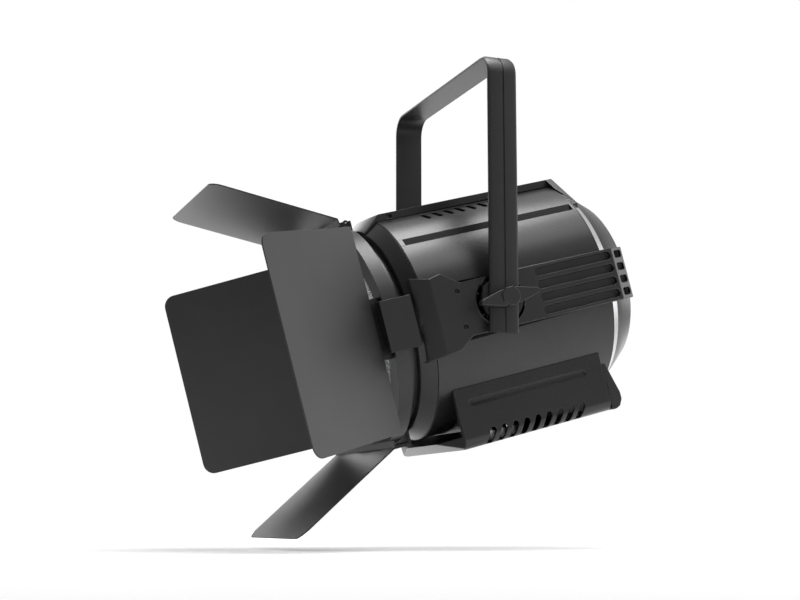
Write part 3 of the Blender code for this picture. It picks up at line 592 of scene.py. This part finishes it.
def make_spine():
    """The raised spine with its rear band and the small hole near its front, a side."""
    outline = [
        (BEZEL_FRONT - 0.001, 0.1080),
        (BEZEL_FRONT - 0.001, SPINE_TOP),
        (0.146, SPINE_TOP),
        (0.1525, 0.1240),
        (0.1525, 0.1150),
    ]
    spine = prism("yz", outline, -SPINE_HALF, SPINE_HALF)
    spine = combined(spine, spine_limit(), "INTERSECT")
    spine = join(spine, collar_band())
    spine = cut(spine, shell_body(), bezel_body(), rear_body())
    hole_low = (SPINE_HALF - 0.004, -0.0697, 0.1243)
    hole_high = (SPINE_HALF + 0.01, -0.0637, 0.1290)
    for _, side in sides():
        spine = cut(spine, mirrored(hole_low, hole_high, side))
    piece("spine_casting", spine, "housing", "cast_black", ["spine_cover"], bevel=0.0005)


def make_bezel_and_rear():
    """The front and rear castings, and the bare metal band between the shell and the rear one."""
    bezel = [
        (SHELL_RADIUS - GAP, SHELL_FRONT - GAP),
        (BEZEL_RADIUS, BEZEL_FRONT),
        (SNOUT_RADIUS, BEZEL_FRONT),
        (SNOUT_RADIUS, SNOUT_FRONT),
        (MOUTH_RADIUS, SNOUT_FRONT),
        (MOUTH_RADIUS, BEZEL_FRONT + 0.003),
        (SHELL_RADIUS - 0.007, SHELL_FRONT - GAP),
    ]
    edge = {"bevel": 0.0007, "segments": 3}
    piece("bezel_casting", turned(bezel), "housing", "cast_black", ["front_bezel"], **edge)
    inner = [
        (SHELL_RADIUS - 0.006, SHELL_REAR + GAP),
        (CONE_BAND[0] - CONE_WALL, CONE_BAND[1]),
        (CONE_KNEE[0] - CONE_WALL, CONE_KNEE[1]),
        (CONE_END[0] - CONE_WALL, CONE_END[1] - CONE_WALL),
        (PANEL_RADIUS, CONE_END[1] - CONE_WALL),
        (PANEL_RADIUS, CONE_END[1]),
    ]
    ring = turned(cone_profile() + inner)
    trim = [
        (SHELL_RADIUS - 0.0002, SHELL_REAR + 0.0006),
        (CONE_BAND[0] + 0.0002, CONE_BAND[1] + 0.0042),
        (CONE_BAND[0] - 0.0020, CONE_BAND[1] + 0.0030),
        (SHELL_RADIUS - 0.0030, SHELL_REAR + 0.0006),
    ]
    piece("rear_trim_band", turned(trim), "housing", "bare_aluminium", bevel=0.0002)
    piece("rear_casting", ring, "housing", "cast_black", ["rear_ring"], **edge)


# ---- side arms and knobs ---------------------------------------------------------------------------


def arm_outline():
    """Side view of an arm cover: a stepped front and a straight rear stretch."""
    top = [(ARM_FRONT, 0.046), (ARM_CREASE, 0.040), (-0.063, 0.043), (-0.042, ARM_TOP), (ARM_END, ARM_TOP)]
    bottom = [(ARM_END, ARM_BOTTOM), (-0.042, ARM_BOTTOM), (-0.060, -0.044), (ARM_FRONT, -0.048)]
    return top + bottom


def boss_pockets(side):
    """Pockets between the ribs round the boss, as fan-shaped cutters."""
    pockets = []
    outer, inner, width = 0.0281, 0.0252, 15
    for i in range(BOSS_RIBS):
        first = 360 / BOSS_RIBS * i + 5
        last = first + width
        outline = arc((0, 0), outer, first, last, 3) + arc((0, 0), inner, last, first, 3)
        pockets.append(prism("yz", outline, *span(ARM_FACE + 0.0004, ARM_FACE + 0.01, side)))
    return together(pockets)


def arm_groove(middle, side):
    """One long groove in the face, round-ended, and the pocket that it runs into on the slant."""
    radius, depth, outside = 0.0045, 0.006, 0.15
    ends = arc((0.054, middle), radius, 90, 270, 8) + arc((0.1445, middle), radius, -90, 90, 8)
    groove = prism("yz", ends, *span(ARM_FACE - depth, ARM_FACE + 0.01, side))
    outline = [(y + 0.1630, z + middle) for y, z in rounded(0.0140, 0.0078, 0.0022)]
    return groove, prism("yz", outline, *span(ARM_FLOOR, outside, side))


def make_arm(name, side):
    """A side cover: slanted at both ends, hollowed to the housing, with a ribbed boss and grooves."""
    arm = prism("yz", arm_outline(), *span(ARM_INSIDE, ARM_FACE, side))
    outside = ARM_FACE + 0.001
    rear = [(outside, ARM_REAR), (outside, 0.18), (0.1177, 0.18)]
    front = [(outside, ARM_CREASE + 0.001), (outside, ARM_FRONT - 0.01), (0.116, ARM_FRONT - 0.01)]
    for wedge in (rear, front):
        arm = cut(arm, prism("xy", [(side * x, y) for x, y in wedge], -0.06, 0.06))
    arm = cut(arm, shell_body(), bezel_body(), rear_body())
    boss = rod("x", *span(ARM_FACE - 0.001, ARM_FACE + 0.002, side), BOSS_RADIUS, segments=72)
    arm = cut(join(arm, boss), boss_pockets(side))
    arm = cut(arm, rod("x", *span(STUD_SEAT, 0.15, side), STUD_BORE))
    for middle in ARM_GROOVES:
        arm = cut(arm, *arm_groove(middle, side))
    seat = ARM_FACE - 0.002
    hole = span(seat, 0.15, side)
    holes = [rod("x", *hole, 0.0024, (ARM_HOLE_Y, z), 24) for z in ARM_HOLES]
    arm = cut(arm, together(holes))
    node = f"side_arm_{name}"
    piece(f"arm_cover_{name}", arm, "housing", "black_plastic", [node], bevel=0.0013, segments=3)
    ends = (ARM_GROOVES[0], ARM_GROOVES[-1])
    face_screws = [((side * (ARM_FLOOR + 0.0001), 0.1650, z), (side, 0, 0)) for z in ends]
    hole_screws = [((side * seat, ARM_HOLE_Y, z), (side, 0, 0)) for z in ARM_HOLES]
    screws(f"arm_screws_{name}", face_screws, 0.0031)
    screws(f"arm_hole_screws_{name}", hole_screws, 0.0020)


def wing_outline():
    """A bow-tie lever: a round middle and two wings that taper to round tips."""
    tip, half_root, middle = 0.0032, 0.0090, 0.010
    reach = KNOB_REACH - tip
    right = arc((reach, 0), tip, -76, 76, 8)
    left = arc((-reach, 0), tip, 104, 256, 8)
    low = [(-middle, -half_root), (middle, -half_root)]
    high = [(middle, half_root), (-middle, half_root)]
    return low + right + high + left


def make_knob(name, side):
    """A clamp lever on an eight-sided hub, bored for the pivot stud."""
    hinge = Vector(JOINTS[f"knob_{name}_turn"]["pos_m"])
    place = Matrix.Translation(hinge) @ Matrix.Rotation(radians(KNOB_LEAN), 4, "X")
    wings = prism("yz", wing_outline(), *span(0.0075, 0.0162, side))
    hub = prism("yz", arc((0, 0), 0.0112, 22.5, 337.5, 7), *span(0.0004, 0.0180, side))
    knob = cut(join(wings, hub), rod("x", *span(-0.002, 0.0095, side), STUD_BORE))
    node = f"wing_knob_{name}"
    piece(f"{node}_fine", knob, BODY_OF[node], "black_plastic", [node], place, bevel=0.0011, segments=3)


# ---- base ------------------------------------------------------------------------------------------


def base_section(inset, radius):
    """Section across the base: upright sides and round lower edges, as an (x, z) outline."""
    half, low = BASE_HALF - inset, BASE_BOTTOM + inset
    corner = half - radius
    right = arc((corner, low + radius), radius, -90, 0, 10)
    left = arc((-corner, low + radius), radius, 180, 270, 10)
    return left + right + [(half, BASE_TOP), (-half, BASE_TOP)]


def nose_cutter(side):
    """Takes off one front corner of the base, seen from above."""
    reach = 0.02
    slope = (BASE_SHOULDER - BASE_FRONT) / (BASE_HALF - BASE_NOSE_HALF)
    outline = [
        (side * (BASE_HALF + reach), BASE_SHOULDER + slope * reach),
        (side * (BASE_NOSE_HALF - reach), BASE_FRONT - slope * reach),
        (side * (BASE_HALF + reach), BASE_FRONT - slope * reach),
    ]
    return prism("xy", outline, BASE_BOTTOM - 0.01, BASE_TOP + 0.01)


def base_vents(side):
    """Leaning round-ended vents that wrap the base's lower edge."""
    lean = Matrix.Rotation(radians(VENT_LEAN), 4, "X")
    outline = [(b, a) for a, b in stadium(*VENT_SIZE)]
    vents = []
    for i in range(VENT_COUNT):
        vent = prism("yz", outline, -0.011, 0.011)
        at = (side * (BASE_HALF - 0.003), VENT_FIRST + VENT_PITCH * i, BASE_BOTTOM + 0.0057)
        vents.append(moved(vent, Matrix.Translation(at) @ lean))
    return together(vents)


def side_groove(side, inset, width):
    """A long round-ended groove high on the base's side: cut wide and shallow, then narrow and deep."""
    full_length, full_width = 0.152, 0.0075
    middle = (0.024, -0.10225)
    slot = stadium(full_length - (full_width - width), width)
    outline = [(y + middle[0], z + middle[1]) for y, z in slot]
    return prism("yz", outline, *span(BASE_HALF - inset, BASE_HALF + 0.01, side))


def make_base():
    """The open-topped driver box, with a pointed nose whose upper face is sunk between its edges."""
    recess = [(-0.11, -0.1470), (-0.052, -0.1330), (-0.052, -0.07), (-0.11, -0.07)]
    under = [(BASE_FRONT - 0.005, -0.134), (BASE_FRONT - 0.005, -0.16), (BASE_FRONT + 0.0267, -0.16)]
    front, rear = BASE_SHOULDER + 0.020, BASE_REAR - BASE_WALL
    inner_half = BASE_HALF - BASE_WALL
    inner = prism("xz", base_section(BASE_WALL, 0.009), front, rear)
    inner_top = box((-inner_half, front, BASE_TOP - 0.002), (inner_half, rear, BASE_TOP + 0.01))
    base = prism("xz", base_section(0, 0.012), BASE_FRONT, BASE_REAR)
    base = cut(base, inner, inner_top, nose_cutter(1), nose_cutter(-1), prism("yz", under, -0.12, 0.12))
    base = cut(base, rod("y", -0.2, 0.2, SHELL_RADIUS + GAP, segments=ROUND))
    base = cut(base, prism("yz", recess, 0.005 - BASE_HALF, BASE_HALF - 0.005))
    for _, side in sides():
        grooves = (side_groove(side, 0.0013, 0.0075), side_groove(side, 0.0026, 0.0036))
        base = cut(base, base_vents(side), *grooves)
    piece("base_tray", base, "housing", "cast_black", ["base_box"], bevel=0.0007)
    nose = [((side * 0.060, -0.0522, -0.122), (0, -1, 0)) for _, side in sides()]
    screws("nose_screws", nose, 0.0040)


# ---- lens and light source -------------------------------------------------------------------------


def make_lens():
    """A stepped lens: each ring-shaped zone slopes like its stretch of a thick domed lens."""
    rim = LENS_SEAT - 0.0050
    width = (LENS_RADIUS - 0.004) / LENS_ZONES
    profile = [(0.0, LENS_SEAT + 0.0015), (LENS_RADIUS, LENS_SEAT + 0.0015), (LENS_RADIUS, rim)]
    for i in range(LENS_ZONES - 1, -1, -1):
        height = ZONE_LEAST + ZONE_RISE * (i + 1) / LENS_ZONES
        profile += [((i + 1) * width, rim), (i * width + 0.0002 * (i > 0), rim - height)]
    lens, body = turned(profile), BODY_OF["front_lens"]
    piece("fresnel_lens", lens, body, "lens_glass", ["front_lens"], bevel=0.0001, segments=1)


def make_light_source():
    """Square chips on the LED board, packed in a round patch."""
    chips = []
    pitch, half, top = 0.0072, 0.0028, -0.0085
    reach, most = 3, 10
    for i in range(-reach, reach + 1):
        for j in range(-reach, reach + 1):
            if i * i + j * j <= most:
                low = (i * pitch - half, top - 0.0007, j * pitch - half)
                chips.append(box(low, (i * pitch + half, top - 0.00005, j * pitch + half)))
    piece("led_chips", together(chips), "housing", "led_white", bevel=0.0002)


def make_board_parts():
    """Capacitors, chips and coils on the driver board, in a regular layout."""
    top = -0.1328
    cans = [rod("z", top, top + 0.014, 0.005, (-0.045 + 0.018 * i, 0.080), 24) for i in range(6)]
    chips = [box((-0.05 + 0.03 * i, 0.0, top), (-0.034 + 0.03 * i, 0.012, top + 0.0022)) for i in range(4)]
    coils = [rod("z", top, top + 0.010, 0.009, (-0.040 + 0.04 * i, 0.045), 24) for i in range(3)]
    piece("board_parts", together(cans + chips + coils), "housing", "black_plastic", bevel=0.0004)


# ---- rear panel ------------------------------------------------------------------------------------

# name, x, z and radius of each socket
DATA = (("data_in", -0.030, -0.018, 0.0125), ("data_out", 0.030, -0.018, 0.0125))
POWER = (("power_in", -0.030, -0.054, 0.0135), ("power_out", 0.030, -0.054, 0.0135))
PIN_CIRCLE = 0.0048
PIN_ENDS = (0.1722, 0.1790)
PIN_RADIUS = 0.0011


def make_panel_details():
    """Screws, the display's frame, and a flange and pins for each socket."""
    reach = PANEL_RADIUS - 0.0085
    angles = [pi * (2 * i + 1) / 6 for i in range(6)]
    edge = [(reach * cos(angle), reach * sin(angle)) for angle in angles]
    screws("panel_screws", [((x, PANEL_BACK, z), (0, 1, 0)) for x, z in edge], 0.0028)
    outer = box((-0.0355, PANEL_BACK + 0.0001, 0.0305), (0.0355, PANEL_BACK + 0.0016, 0.0655))
    window = box((-0.0315, PANEL_BACK - 0.001, 0.0345), (0.0315, PANEL_BACK + 0.004, 0.0615))
    piece("display_frame", cut(outer, window), "housing", "black_plastic", bevel=0.0005)
    for name, x, z, radius in DATA + POWER:
        lip = cut(
            rod("y", PANEL_BACK + 0.0001, PANEL_BACK + 0.0024, radius + 0.0030, (x, z), 64),
            rod("y", PANEL_BACK - 0.001, PANEL_BACK + 0.004, radius + 0.0004, (x, z), 64),
        )
        piece(f"{name}_flange", lip, "housing", "black_plastic", bevel=0.0005)
        pins = []
        for angle in (radians(90 + 120 * i) for i in range(3)):
            at = (x + PIN_CIRCLE * cos(angle), z + PIN_CIRCLE * sin(angle))
            pins.append(rod("y", *PIN_ENDS, PIN_RADIUS, at, 16))
        piece(f"{name}_pins", together(pins), "housing", "bright_steel", bevel=0.0003)


# ---- barn-door screws ------------------------------------------------------------------------------

STATIONS = (("top", 0), ("right", 90), ("bottom", 180), ("left", 270))
RING_FRONT = -0.1312


def make_bracket_screws():
    """Two screws through each hinge bracket's foot."""
    foot = RING_FRONT - GAP - 0.0015
    for name, turn in STATIONS:
        place = HOUSING @ Matrix.Rotation(radians(turn), 4, "Y")
        places = [((x, foot, 0.1108), (0, -1, 0)) for x in (-0.028, 0.028)]
        screws(f"bracket_screws_{name}", places, 0.0024, "barn_ring", place)


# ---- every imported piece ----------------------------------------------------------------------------

# How far each of these nodes' edges are rounded; the others get USUAL_EDGE.
USUAL_EDGE = 0.0003
SOFT_EDGES = {
    "yoke_frame": 0.0004,
    "base_rear_cover": 0.0005,
    "accessory_clip_right": 0.0005,
    "accessory_clip_bottom": 0.0005,
    "accessory_clip_left": 0.0005,
    "barn_door_ring": 0.0004,
    "heat_sink": 0.0,
    "safety_loop": 0.0,
    "bulkhead_plate": 0.0002,
    "display_window": 0.0002,
}


def make_everything():
    """The pieces drawn afresh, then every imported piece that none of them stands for."""
    make_shell()
    make_spine()
    make_bezel_and_rear()
    for name, side in sides():
        make_arm(name, side)
        make_knob(name, side)
    make_base()
    make_lens()
    make_light_source()
    make_board_parts()
    make_panel_details()
    make_bracket_screws()
    for node, obj in NODES.items():
        if not obj.hide_render:
            refined(node, SOFT_EDGES.get(node, USUAL_EDGE))


# ---- studio ----------------------------------------------------------------------------------------

CAMERA_AT = Vector((1.6011, -0.6652, -0.5221))
CAMERA_LOOKS = Vector((-0.926, 0.346, 0.149))
CAMERA_LENS_MM = 66.08
SUBJECT = Vector((0, 0, -0.28))
FILL_FROM = Vector((-0.1, 0.85, 0.5)).normalized()
FILL = (0.10, 0.85)
FLOOR_RADIUS = 3.0
FLOOR_DROP = 0.012
FLOOR_GLOW = (0.12, 0.85)
FLOOR_GLOW_REACH = (-0.6, 1.6)
SOFTBOXES = (
    # name, direction from the subject, distance, width and height, radiance
    ("overhead", (0.04, 0.03, 1.0), 1.6, (0.80, 0.80), 9.0),
    ("high_right", (0.40, 0.14, 0.90), 1.6, (0.75, 0.85), 2.6),
    ("left", (-0.92, -0.04, 0.42), 2.4, (1.8, 1.0), 2.3),
    ("back_left", (-0.64, 0.77, 0.04), 2.6, (0.9, 1.2), 1.0),
    ("back", (-0.10, 1.0, 0.24), 2.6, (1.3, 1.1), 2.0),
)


def make_camera():
    camera = bpy.data.objects.new("camera", bpy.data.cameras.new("camera"))
    bpy.context.scene.collection.objects.link(camera)
    camera.data.lens = CAMERA_LENS_MM
    camera.data.sensor_width = 36
    camera.data.clip_start = 0.05
    camera.location = CAMERA_AT
    camera.rotation_euler = CAMERA_LOOKS.to_track_quat("-Z", "Y").to_euler()
    bpy.context.scene.camera = camera


def softbox(name, direction, distance, size, radiance):
    """A rectangular lamp that faces the subject; its power follows from its radiance and area."""
    light = bpy.data.lights.new(name, "AREA")
    light.shape = "RECTANGLE"
    light.size, light.size_y = size
    light.energy = radiance * pi * size[0] * size[1]
    lamp = bpy.data.objects.new(name, light)
    bpy.context.scene.collection.objects.link(lamp)
    away = Vector(direction).normalized()
    lamp.location = SUBJECT + away * distance
    lamp.rotation_euler = (-away).to_track_quat("-Z", "Y").to_euler()
    lamp.visible_camera = False


def make_world():
    """White to look at, with a soft fill that is strongest from behind and above."""
    world = bpy.data.worlds.new("studio")
    bpy.context.scene.world = world
    world.use_nodes = True
    tree = world.node_tree
    tree.nodes.clear()
    link = tree.links.new
    output = tree.nodes.new("ShaderNodeOutputWorld")
    mix = tree.nodes.new("ShaderNodeMixShader")
    path = tree.nodes.new("ShaderNodeLightPath")
    seen = tree.nodes.new("ShaderNodeBackground")
    lit = tree.nodes.new("ShaderNodeBackground")
    place = tree.nodes.new("ShaderNodeTexCoord")
    toward = tree.nodes.new("ShaderNodeVectorMath")
    toward.operation = "DOT_PRODUCT"
    toward.inputs[1].default_value = FILL_FROM
    fill = tree.nodes.new("ShaderNodeMapRange")
    fill.inputs["From Min"].default_value = -0.5
    fill.inputs["From Max"].default_value = 1.0
    fill.inputs["To Min"].default_value = FILL[0]
    fill.inputs["To Max"].default_value = FILL[1]
    seen.inputs["Color"].default_value = (1, 1, 1, 1)
    lit.inputs["Color"].default_value = (1, 1, 1, 1)
    link(place.outputs["Generated"], toward.inputs[0])
    link(toward.outputs["Value"], fill.inputs["Value"])
    link(fill.outputs["Result"], lit.inputs["Strength"])
    link(path.outputs["Is Camera Ray"], mix.inputs[0])
    link(lit.outputs[0], mix.inputs[1])
    link(seen.outputs[0], mix.inputs[2])
    link(mix.outputs[0], output.inputs["Surface"])


def make_floor():
    """A pale floor under the light. Its glow grows away from the camera, so that its far edge fades."""
    bm = bmesh.new()
    bmesh.ops.create_circle(bm, cap_ends=True, segments=96, radius=FLOOR_RADIUS)
    floor = bpy.data.objects.new("floor", mesh_of(bm))
    floor.location = (0, 0, cad_box[0][2] - FLOOR_DROP)
    bpy.context.scene.collection.objects.link(floor)
    material, tree, shader = new_material("floor_paper")
    paper = noise(tree, 0.01)
    tint = blended(tree, paper, (0.86, 0.86, 0.86), (0.88, 0.88, 0.88))
    tree.links.new(tint, shader.inputs["Base Color"])
    shader.inputs["Roughness"].default_value = 0.8
    shader.inputs["Emission Color"].default_value = (1, 1, 1, 1)
    place = tree.nodes.new("ShaderNodeTexCoord")
    reach = tree.nodes.new("ShaderNodeVectorMath")
    reach.operation = "DOT_PRODUCT"
    reach.inputs[1].default_value = (CAMERA_LOOKS.x, CAMERA_LOOKS.y, 0)
    tree.links.new(place.outputs["Object"], reach.inputs[0])
    glow = ranged(tree, reach.outputs["Value"], *FLOOR_GLOW, *FLOOR_GLOW_REACH)
    tree.links.new(glow, shader.inputs["Emission Strength"])
    floor.data.materials.append(material)


def make_studio():
    make_camera()
    make_world()
    make_floor()
    for lamp in SOFTBOXES:
        softbox(*lamp)
    bpy.context.scene.view_settings.view_transform = "Standard"


make_everything()
make_studio()
